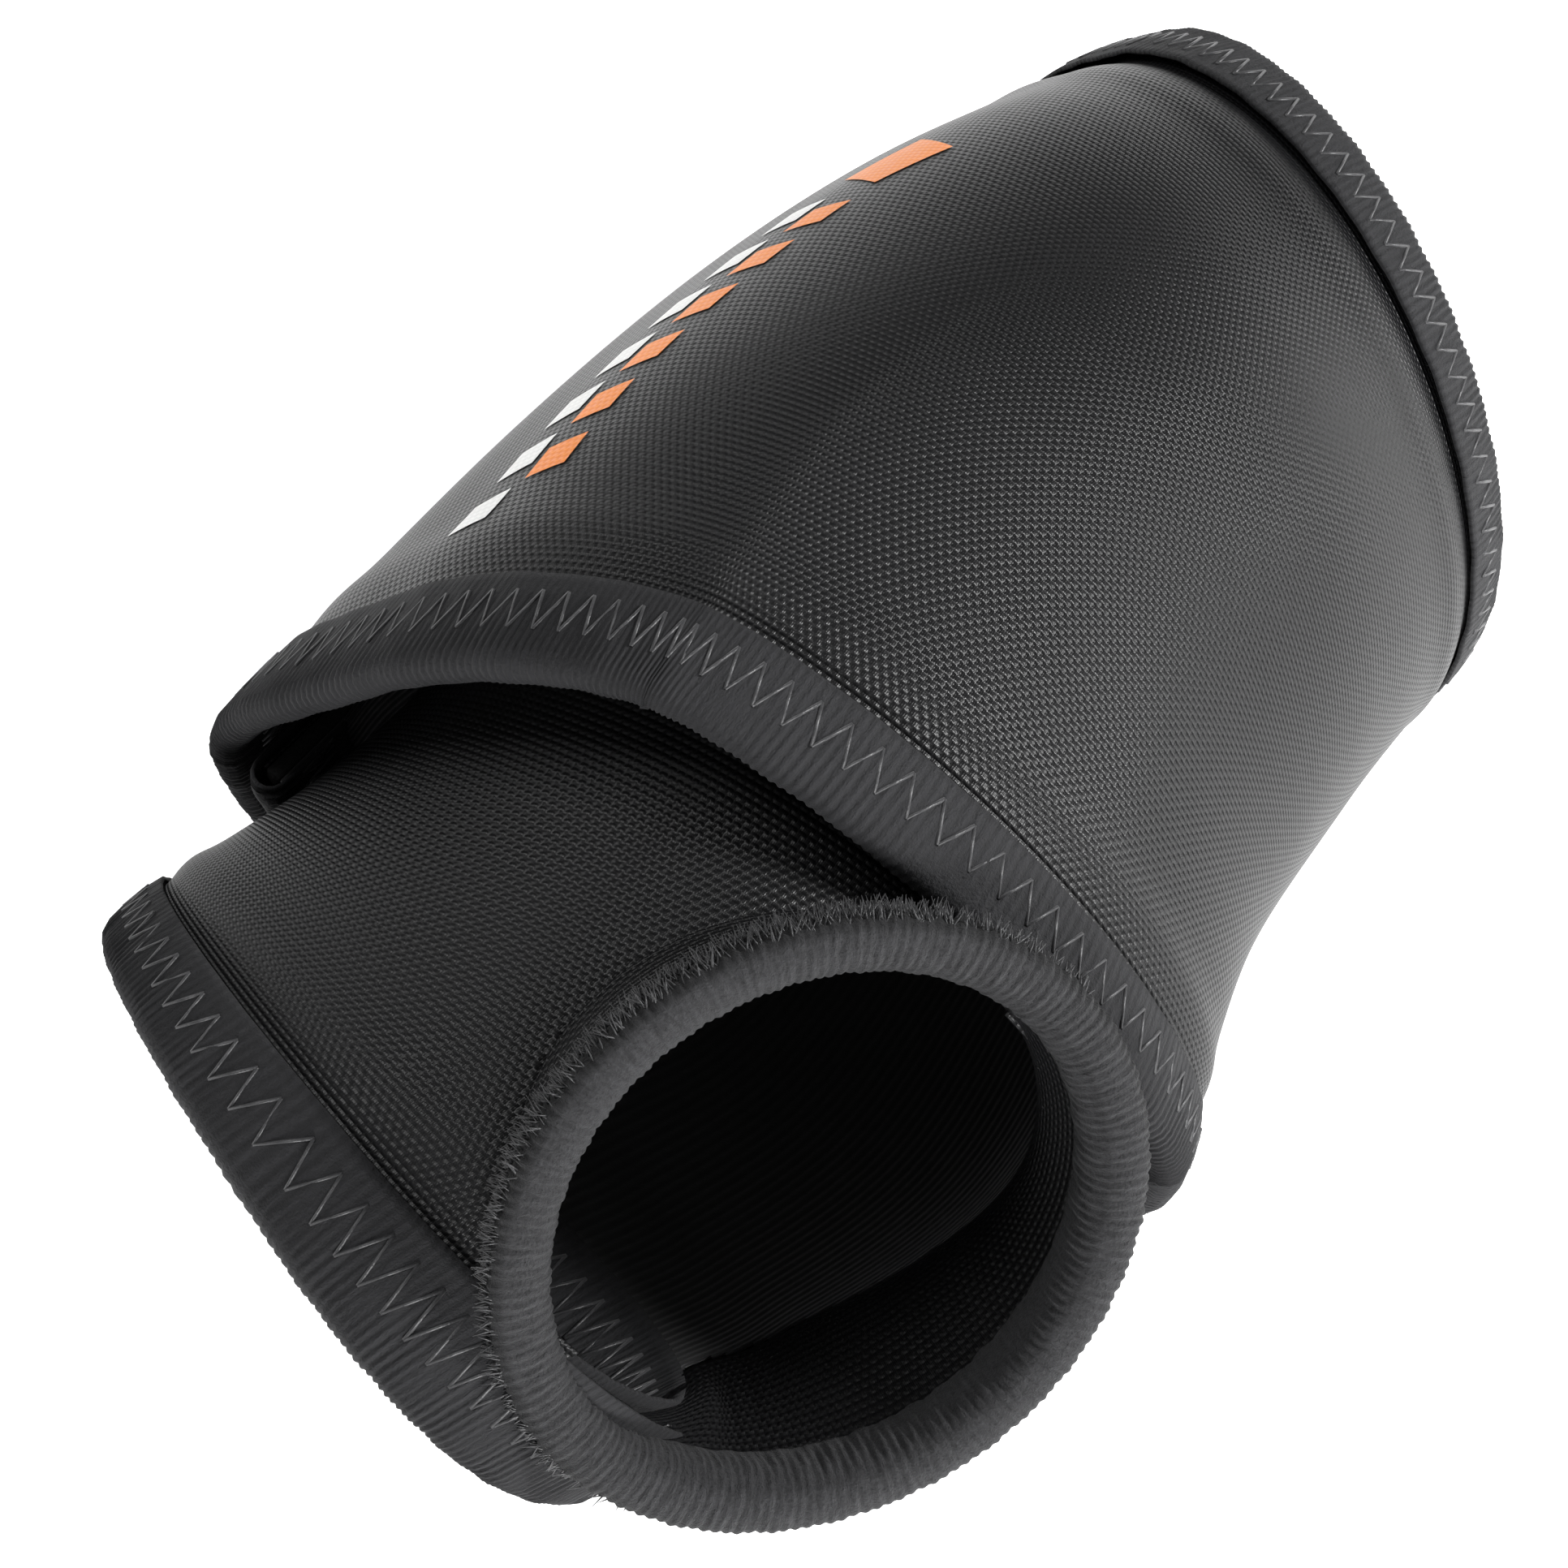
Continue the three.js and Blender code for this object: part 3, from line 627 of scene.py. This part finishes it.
window_axis = np.array(WINDOW_AXIS) / np.linalg.norm(WINDOW_AXIS)
level = np.cross([0, 0, 1], window_axis)
level /= np.linalg.norm(level)
rise = np.cross(window_axis, level)
turn = math.radians(WINDOW_TURN)
window_across = level * math.cos(turn) + rise * math.sin(turn)
window_up = rise * math.cos(turn) - level * math.sin(turn)


def window_point(angle, radius, height):
    """A point on the stretched oval about the window's axis. angle is in radians."""
    radius, height = np.asarray(radius, float), np.asarray(height, float)
    across = (radius * np.cos(angle) * WINDOW_STRETCH)[..., None] * window_across
    up = (radius * np.sin(angle))[..., None] * window_up
    return WINDOW_CENTRE + across + up + height[..., None] * window_axis


def window_place(points):
    """Angle, oval radius and height of points about the window's axis."""
    away = np.asarray(points) - WINDOW_CENTRE
    x, y = away @ window_across / WINDOW_STRETCH, away @ window_up
    return np.arctan2(y, x) % (2 * np.pi), np.hypot(x, y), away @ window_axis


FOOT_STEPS = 240
HUB_HEIGHT = -20.0  # a point on the window's axis, inside the sleeve, that sees the whole foot
NECK_MOUTH = 27.0  # widest oval radius of the foot where the sleeve falls away at the front
NECK_DEPTH = -30.0  # how far down the window's axis the sleeve still counts as the window's own
CREST_ANGLE = 95  # the side of the window that faces the sleeve's crest, in degrees
FOOT_SMOOTHING = 10  # foot steps to each side that are blended together


def neck_foot(offset, spread):
    """The closed line where the collar's wall meets the sleeve: its points and the sleeve's
    outward normals there. spread is how far the foot flares past the window's inner edge."""
    bm, _ = cloth_mesh(lambda u, v: sleeve.at(u, v, offset), 200, 110, closed=True)
    tree = BVHTree.FromBMesh(bm)
    angles = np.arange(FOOT_STEPS) * 2 * np.pi / FOOT_STEPS
    degrees = np.degrees(angles)
    from_crest = np.abs((degrees - CREST_ANGLE + 180) % 360 - 180)
    towards_crest = smooth(1 - from_crest / CREST_ANGLE)
    radii = WINDOW_INNER + 1.0 + spread * towards_crest
    found = np.full((FOOT_STEPS, 2), np.nan)
    for k, (angle, radius) in enumerate(zip(angles, radii)):
        start = to_row(window_point(angle, radius, 12.0))
        hit = tree.ray_cast(Vector(start), Vector(-window_axis))
        if hit[0] is not None:
            _, _, height = window_place(np.array(hit[0]) * 1000 - DESIGN_ORIGIN)
            if height > NECK_DEPTH:
                found[k] = radius, height
                continue
        inside = to_row(window_point(angle, 0.0, NECK_DEPTH))
        out = Vector(to_row(window_point(angle, 1.0, NECK_DEPTH)) - inside).normalized()
        hit = tree.ray_cast(Vector(inside), out)
        if hit[0] is not None:
            _, reach, height = window_place(np.array(hit[0]) * 1000 - DESIGN_ORIGIN)
            found[k] = min(reach, NECK_MOUTH), height
    known = ~np.isnan(found[:, 0])
    steps = np.arange(FOOT_STEPS)
    n = FOOT_SMOOTHING
    weights = np.hanning(2 * n + 1) / np.hanning(2 * n + 1).sum()
    for column in (0, 1):
        row = np.interp(steps, steps[known], found[known, column], period=FOOT_STEPS)
        found[:, column] = np.convolve(np.concatenate([row[-n:], row, row[:n]]), weights,
                                       mode="valid")
    points, normals = [], []
    for angle, (radius, height) in zip(angles, found):
        near = tree.find_nearest(Vector(to_row(window_point(angle, radius, height))))
        points.append(np.array(near[0]) * 1000 - DESIGN_ORIGIN)
        normals.append(np.array(near[1]))
    bm.free()
    return np.array(points), np.array(normals)


def around(values, u):
    """Reading of a closed row of values at u, from 0 to 1."""
    place = np.asarray(u) % 1 * len(values)
    i = np.floor(place).astype(int) % len(values)
    f = place - np.floor(place)
    if values.ndim > 1:
        f = f[..., None]
    return values[i] * (1 - f) + values[(i + 1) % len(values)] * f


outer_foot, outer_foot_normals = neck_foot(-0.15, 7.0)
inner_foot, inner_foot_normals = neck_foot(-LAMINATE - 0.2, 4.0)

FOOT_PULL = 0.9  # how long the wall keeps to the sleeve before it turns up, as a share of its reach
RIM_PULL = 1.3  # how long it keeps to the window's axis before it meets the rim


def wall(foot, normals, rim_radius, rim_height, u, t):
    """A wall that leaves the sleeve along its surface and turns up to the collar's rim."""
    base, normal = around(foot, u), around(normals, u)
    angle = 2 * np.pi * u
    rim = window_point(angle, np.full_like(angle, rim_radius), np.full_like(angle, rim_height))
    line = np.roll(foot, -1, axis=0) - np.roll(foot, 1, axis=0)
    along = np.cross(normal, around(line, u))
    along /= np.linalg.norm(along, axis=-1, keepdims=True)
    reach = np.linalg.norm(rim - base, axis=-1, keepdims=True)
    t = t[..., None]
    h00, h10 = 2 * t**3 - 3 * t**2 + 1, t**3 - 2 * t**2 + t
    h01, h11 = -2 * t**3 + 3 * t**2, t**3 - t**2
    towards = np.sign(np.sum(along * (WINDOW_CENTRE - base), -1, keepdims=True))
    return (h00 * base + h10 * along * towards * reach * FOOT_PULL
            + h01 * rim + h11 * window_axis * reach * RIM_PULL)


def neck_surface(u, v):
    """The collar's cloth: up the outer wall, over the top, and down the inner wall."""
    top, leg = -2.2, 0.45
    outer = wall(outer_foot, outer_foot_normals, WINDOW_OUTER - 1.6, top, u,
                 np.clip(v / leg, 0, 1))
    inner = wall(inner_foot, inner_foot_normals, WINDOW_INNER + 1.2, top, u,
                 np.clip((1 - v) / leg, 0, 1))
    share = smooth((v - leg) / (1 - 2 * leg))[..., None]
    return outer * (1 - share) + inner * share


ring_room = -around(window_place(outer_foot)[2], np.linspace(0, 1, FOOT_STEPS, endpoint=False))


def ring_surface(u, s):
    """The collar's edge tape: a plump rounded lip with legs down both sides of the wall."""
    knots = np.linspace(0, 1, 11)
    shares = [0.70, 0.86, 0.98, 1.0, 0.84, 0.55, 0.26, 0.08, 0.0, 0.02, 0.08]
    radii = WINDOW_INNER + (WINDOW_OUTER - WINDOW_INNER) * np.array(shares)
    heights = [-9.5, -6.6, -3.8, -1.2, 0.4, 0.9, 0.4, -1.2, -3.8, -6.6, -9.5]
    fine = np.linspace(0, 1, 101)
    weights = np.hanning(13)[1:-1] / np.hanning(13).sum()
    radius = np.interp(fine, knots, radii)
    height = np.interp(fine, knots, heights)
    radius[5:-5] = np.convolve(radius, weights, mode="valid")
    height[5:-5] = np.convolve(height, weights, mode="valid")
    radius, height = np.interp(s, fine, radius), np.interp(s, fine, height)
    room = np.clip(around(ring_room, u) + 0.5, 4.0, TAPE_WIDTH)
    height = np.where(height < 0, height * room / TAPE_WIDTH, height)
    angle = 2 * np.pi * u
    girth = 2 * np.pi * LIP_CREST * 1.06
    ribs = np.cos(angle * round(girth / 1.15))
    lumps = 0.5 * np.sin(angle * 37 + 9 * s) + 0.5 * np.sin(angle * 61 - 14 * s)
    swell = 0.13 * ribs * np.sin(np.pi * s) ** 0.5 + 0.12 * lumps
    slack = 0.15 * np.sin(angle * 3 + 0.6) + 0.1 * np.sin(angle * 5 + 2)
    side = np.clip((radius - LIP_CREST) / 3.2, -1, 1)
    radius = radius + swell * side
    height = height + swell * (1 - np.abs(side)) + slack
    return window_point(angle, radius, height)


def open_window(bm, foot, margin):
    """Deletes the sleeve's cloth inside the foot line, and leaves a margin of so many millimetres
    inside it. Seen from the hub, everything higher than the foot belongs to the window."""
    angle, radius, height = window_place(foot)
    order = np.argsort(angle)
    slope = np.arctan2(height - HUB_HEIGHT, radius)[order]
    angle = angle[order]
    faces = list(bm.faces)
    centres = np.array([f.calc_center_median() for f in faces]) * 1000 - DESIGN_ORIGIN
    a, r, h = window_place(centres)
    limit = np.interp(a, angle, slope, period=2 * np.pi)
    gone = (np.arctan2(h - HUB_HEIGHT, r) > limit + margin / 32) & (r < 45) & (h > -45)
    bmesh.ops.delete(bm, geom=[f for f, g in zip(faces, gone) if g], context="FACES")


# ---- sleeve pieces ------------------------------------------------------------------------------

core_top = -CLOTH - GAP
lining_top = CLOTH - LAMINATE


def full_sheet(name, laminate, top, thickness, material, columns, rows, closed=False, **rest):
    """One layer of a laminate, from its top offset down."""
    bm, size = cloth_mesh(lambda u, v: laminate.at(u, v, top), columns, rows, closed)
    if laminate is sleeve:
        if top == 0:
            open_window(bm, outer_foot, 1.5)
        else:
            open_window(bm, inner_foot, -1.2)
    piece = finish_piece(name, bm, material, thickness=thickness, **rest)
    return piece, tuple(length / 1000 for length in size)


sleeve_face, size = full_sheet(
    "sleeve_face_cloth", sleeve, 0.0, CLOTH, FACE, 300, 170, closed=True,
    replaces=["sleeve_face_fabric"], slot="face_fabric")
sleeve_core, _ = full_sheet(
    "sleeve_foam_layer", sleeve, core_top, FOAM, NEOPRENE, 160, 90, closed=True,
    replaces=["sleeve_foam_core"], slot="foam")
sleeve_inside, size = full_sheet(
    "sleeve_lining_cloth", sleeve, lining_top, CLOTH, LINING, 240, 130, closed=True,
    replaces=["sleeve_lining"], slot="lining_fabric")

neck_bm, _ = cloth_mesh(neck_surface, 360, 60, closed=True)
neck = finish_piece("elbow_window_neck", neck_bm, FACE, replaces=["elbow_window_collar"],
                    slot="foam", thickness=CLOTH)

ring_bm, _ = cloth_mesh(ring_surface, 900, 44, closed=True)
finish_piece("elbow_window_edge_tape", ring_bm, NAP, replaces=["elbow_window_binding"],
             slot="binding", thickness=TAPE)

# Fibres of the nap, on the side of the lip that is brushed open.
FIBRES = 3600
FIBRE_RADIUS = 0.11
BRUSHED_SIDE = np.array([-0.2, 0.78, 0.6])
draw = random.Random(7)
fibres = bmesh.new()
for _ in range(FIBRES):
    u, s = draw.random(), draw.uniform(0.06, 0.34)
    length, lay = draw.uniform(1.0, 2.4), draw.uniform(-0.7, 0.7)
    place = np.array([u]), np.array([s])
    root = ring_surface(*place)[0]
    away = (root - WINDOW_CENTRE) @ window_axis
    out = root - WINDOW_CENTRE - away * window_axis
    out /= np.linalg.norm(out)
    beside = np.cross(window_axis, out)
    if out @ BRUSHED_SIDE < draw.uniform(-0.15, 0.25):
        continue
    lean = 0.45 * out - draw.uniform(0.1, 0.9) * window_axis + lay * 0.5 * beside
    tip = root + lean / np.linalg.norm(lean) * length
    thick = FIBRE_RADIUS / 1000
    tube_cone(fibres, to_row(root - 0.1 * out), to_row(tip), thick, thick * 0.3, 4)
finish_piece("elbow_window_edge_nap", fibres, THREAD, slot="binding")


# ---- edge tapes ---------------------------------------------------------------------------------

def tape_outline(s):
    """The folded tape's outline at s, from 0 at its end on the face to 1 at its end on the lining:
    how far in from the edge, as a share of the leg, millimetres past the edge, and the offset."""
    top, low = TAPE + 0.12, -LAMINATE - TAPE - 0.12
    middle, half = (top + low) / 2, (top - low) / 2
    leg = 0.36
    outer, inner = np.clip(1 - s / leg, 0, 1), np.clip((s - 1 + leg) / leg, 0, 1)
    share = np.where(s < 0.5, outer, inner)
    swing = np.pi * np.clip((s - leg) / (1 - 2 * leg), 0, 1)
    past = np.sin(swing) * (half + 0.1)
    crown = 0.28 * np.sin(np.pi * np.clip(1 - share, 0, 1)) * (share > 0)
    offset = middle + np.cos(swing) * (half + crown)
    return share, past, offset


def tape_surface(laminate, path, s, t):
    """A point of the folded tape. path(t) gives the edge and the line where the tape ends."""
    edge_u, edge_v, inner_u, inner_v = path(t)
    share, past, offset = tape_outline(s)
    u, v = edge_u + (inner_u - edge_u) * share, edge_v + (inner_v - edge_v) * share
    point = laminate.sheet(u, v) + normals_of(laminate.sheet, u, v) * offset[..., None]
    outward = laminate.sheet(edge_u, edge_v) - laminate.sheet(inner_u, inner_v)
    outward /= np.linalg.norm(outward, axis=-1, keepdims=True)
    return point + outward * past[..., None]


def rim_path(edge, inner):
    return lambda t: (t, np.full_like(t, edge), t, np.full_like(t, inner))


def edge_tape(name, laminate, path, columns, closed, **rest):
    """The tape round an edge, ribbed across, with a zigzag row of stitches through both legs."""
    ticks = np.linspace(0, 1, 241)
    line = tape_surface(laminate, path, np.full_like(ticks, 0.18), ticks)
    length = np.linalg.norm(np.diff(line, axis=0), axis=1).sum()
    ribs = round(length / RIB_PITCH)

    def normals(t, s, step=1e-3):
        ahead = tape_surface(laminate, path, s, t + step)
        along = ahead - tape_surface(laminate, path, s, t - step)
        low, high = np.clip(s - step, 0, 1), np.clip(s + step, 0, 1)
        across = tape_surface(laminate, path, high, t) - tape_surface(laminate, path, low, t)
        normal = np.cross(along, across)
        return normal / np.linalg.norm(normal, axis=-1, keepdims=True)

    middle, on_face = np.array([0.5]), np.array([0.1])
    _, _, inner_u, inner_v = path(middle)
    outwards = normals_of(laminate.sheet, inner_u, inner_v)
    facing = np.sign(np.sum(normals(middle, on_face) * outwards))

    def ribbed(t, s):
        height = 0.13 * np.cos(2 * np.pi * ribs * t) * np.sin(np.pi * s) ** 2
        wander = 0.10 * np.sin(37 * t * 2 * np.pi + 6 * s) * np.sin(11 * t * 2 * np.pi)
        relief = facing * (height + wander)[..., None]
        return tape_surface(laminate, path, s, t) + normals(t, s) * relief

    bm, size = cloth_mesh(ribbed, columns, 24, closed)
    if facing < 0:
        bmesh.ops.reverse_faces(bm, faces=bm.faces)
    tape = finish_piece(name, bm, BINDING, slot="binding", thickness=TAPE * 0.8, **rest)
    rest.pop("replaces", None)
    thread = bmesh.new()
    count = round(length / STITCH_PITCH)
    for row in ((0.27, 0.09), (0.73, 0.91)):  # on the outer leg, then on the inner one
        ticks = np.arange(2 * count + 1) / (2 * count)
        lift = np.where(np.arange(2 * count + 1) % 2, row[0], row[1])
        corners = to_row(tape_surface(laminate, path, lift, ticks))
        for start, end in zip(corners[:-1], corners[1:]):
            tube_cone(thread, start, end, THREAD_RADIUS / 1000)
    stitches = finish_piece(name.replace("tape", "stitches"), thread, THREAD, slot="binding",
                            **rest)
    return tape, stitches


edge_tape("forearm_edge_tape", sleeve, rim_path(0.0, SLEEVE_TAPE_ROWS[0]), 1000, True,
          replaces=["forearm_opening_binding"])
edge_tape("upper_arm_edge_tape", sleeve, rim_path(1.0, SLEEVE_TAPE_ROWS[1]), 1100, True,
          replaces=["upper_arm_opening_binding"])

seam_bm, _ = cloth_mesh(
    lambda u, v: sleeve.at((22 + u) / 32, 0.2 + 0.6 * v, -LAMINATE - 0.1), 12, 80)
finish_piece("sleeve_seam_tape_strip", seam_bm, SEAM, replaces=["sleeve_seam_tape"],
             slot="seam_tape", thickness=TAPE)


# ---- wrap pieces --------------------------------------------------------------------------------

wrap_face, size = full_sheet(
    "wrap_face_cloth", wrap, 0.0, CLOTH, FACE, 340, 150,
    replaces=["wrap_face_fabric"], slot="face_fabric")
wrap_core, _ = full_sheet(
    "wrap_foam_layer", wrap, core_top, FOAM, NEOPRENE, 180, 80,
    replaces=["wrap_foam_core"], slot="foam")
wrap_inside, size = full_sheet(
    "wrap_lining_cloth", wrap, lining_top, CLOTH, LINING, 240, 100,
    replaces=["wrap_lining"], slot="lining_fabric")

edge_tape("wrap_forearm_edge_tape", wrap, rim_path(0.0, WRAP_TAPE_ROWS[0]), 1200, False,
          replaces=["wrap_forearm_edge_binding"])
edge_tape("wrap_elbow_edge_tape", wrap, rim_path(1.0, WRAP_TAPE_ROWS[1]), 1300, False,
          replaces=["wrap_elbow_edge_binding"])


def patch(name, laminate, us, vs, top, thickness, material, columns, rows, **rest):
    """A flat tape or patch between shares us and vs of a laminate."""
    bm, _ = cloth_mesh(
        lambda u, v: laminate.at(us[0] + (us[1] - us[0]) * u, vs[0] + (vs[1] - vs[0]) * v, top),
        columns, rows)
    return finish_piece(name, bm, material, thickness=thickness, **rest)


patch("wrap_anchor_tape_strip", wrap, (0, 1 / 32), (0.22, 0.78), -LAMINATE - 0.1, TAPE, SEAM,
      12, 80, replaces=["wrap_anchor_tape"], slot="seam_tape")
patch("loop_pile_patch", wrap, (1 / 32, 4 / 32), (0.22, 0.78), 0.1 + PATCH, PATCH, LOOPS,
      60, 90, replaces=["loop_patch"], slot="fastener")


# ---- flap pieces --------------------------------------------------------------------------------

def flap_path(t):
    """The flap's three free edges, with the corners eased."""
    corners = np.linspace(0, 1, 4)
    ticks = np.linspace(0, 1, 601)
    weights = np.hanning(11)[1:-1] / np.hanning(11).sum()
    low, high = WRAP_TAPE_ROWS
    lines = []
    for values in ((0, 1, 1, 0), (0, 0, 1, 1), (0, FLAP_TIP_ROW, FLAP_TIP_ROW, 0),
                   (low, low, high, high)):
        row = np.interp(ticks, corners, values)
        row[4:-4] = np.convolve(row, weights, mode="valid")
        lines.append(np.interp(t, ticks, row))
    return lines


flap_face, size = full_sheet(
    "flap_face_cloth", flap, 0.0, CLOTH, FACE, 90, 150, body=None,
    replaces=["flap_face_fabric"], slot="face_fabric")
flap_core, _ = full_sheet(
    "flap_foam_layer", flap, core_top, FOAM, NEOPRENE, 50, 80, body=None,
    replaces=["flap_foam_core"], slot="foam")
flap_inside, lining_size = full_sheet(
    "flap_lining_cloth", flap, lining_top, CLOTH, LINING, 70, 100, body=None,
    replaces=["flap_lining"], slot="lining_fabric")
flap_tape, flap_stitches = edge_tape("flap_edge_tape", flap, flap_path, 900, False, body=None,
                                     replaces=["flap_binding"])
flap_hooks = patch("hook_patch_strip", flap, (0.25, 0.84), (0.24, 0.76), -LAMINATE - 0.1, PATCH,
                   HOOKS, 60, 90, body=None, replaces=["hook_patch"], slot="fastener")
flap_tab = patch("pull_tab_loop", flap, (0.45, 1.0), (0.42, 0.58), 0.1 + 2 * TAPE, 2 * TAPE,
                 BINDING, 60, 30, body=None, replaces=["pull_tab"], slot="binding")

flap_start = Vector(to_row(flap.at(0.0, 0.5)))
flap_end = Vector(to_row(flap.at(0.13, 0.5)))
for piece in (flap_face, flap_core, flap_inside, flap_tape, flap_stitches, flap_hooks, flap_tab):
    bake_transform(piece)


# ---- print --------------------------------------------------------------------------------------

PRINT_U, PRINT_V = 0.868, 0.46  # start of the print on the wrap; the bars' sizes are in u and v too
INK_LIFT = 0.12  # millimetres
BAR_PITCH = 0.062
BAR_WIDTH = 0.016
BAR_LENGTH = 0.034
BAR_SLANT = 0.010


def print_mark(bm, corners):
    """Adds one four-cornered mark, given by its corners in (u, v) of the wrap, in order."""
    uv = bm.loops.layers.uv.verify()
    made = bmesh.ops.create_grid(bm, x_segments=8, y_segments=8, size=0.5)["verts"]
    flat = np.array([v.co[:2] for v in made]) + 0.5
    a, b, c, d = (np.array(p) for p in corners)
    x, y = flat[:, :1], flat[:, 1:]
    place = a * (1 - x) * (1 - y) + b * x * (1 - y) + c * x * y + d * (1 - x) * y
    points = to_row(wrap.at(place[:, 0], place[:, 1], INK_LIFT))
    for vert, point, (u, v) in zip(made, points, place):
        vert.co = point
        for loop in vert.link_loops:
            loop[uv].uv = (u * WRAP_FLAT[0], v * WRAP_FLAT[1])


def bar_row(bm, u, v, bars):
    """A row of slanted bars, as a plain decoration."""
    for i in range(bars):
        low = v + i * BAR_PITCH
        high = low + BAR_LENGTH
        far_low, far_high = low + BAR_SLANT, high + BAR_SLANT
        print_mark(bm, [(u, low), (u + BAR_WIDTH, far_low), (u + BAR_WIDTH, far_high), (u, high)])


orange = bmesh.new()
orange.loops.layers.uv.new("cloth")
bar_row(orange, PRINT_U - 0.006, PRINT_V, 6)
print_mark(orange, [(PRINT_U - 0.014, PRINT_V - 0.10), (PRINT_U + 0.016, PRINT_V - 0.12),
                    (PRINT_U + 0.026, PRINT_V - 0.05), (PRINT_U - 0.004, PRINT_V - 0.03)])
finish_piece("orange_print_marks", orange, ORANGE, replaces=["orange_print"], slot="orange_ink")
white = bmesh.new()
white.loops.layers.uv.new("cloth")
bar_row(white, PRINT_U + 0.014, PRINT_V - 0.01, 7)
finish_piece("white_print_marks", white, WHITE, replaces=["white_print"], slot="white_ink")


# ---- floor under the object ---------------------------------------------------------------------

low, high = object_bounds()
floor.data.transform(Matrix.Translation((0, 0, min(low.z, 0) - 0.0002)))
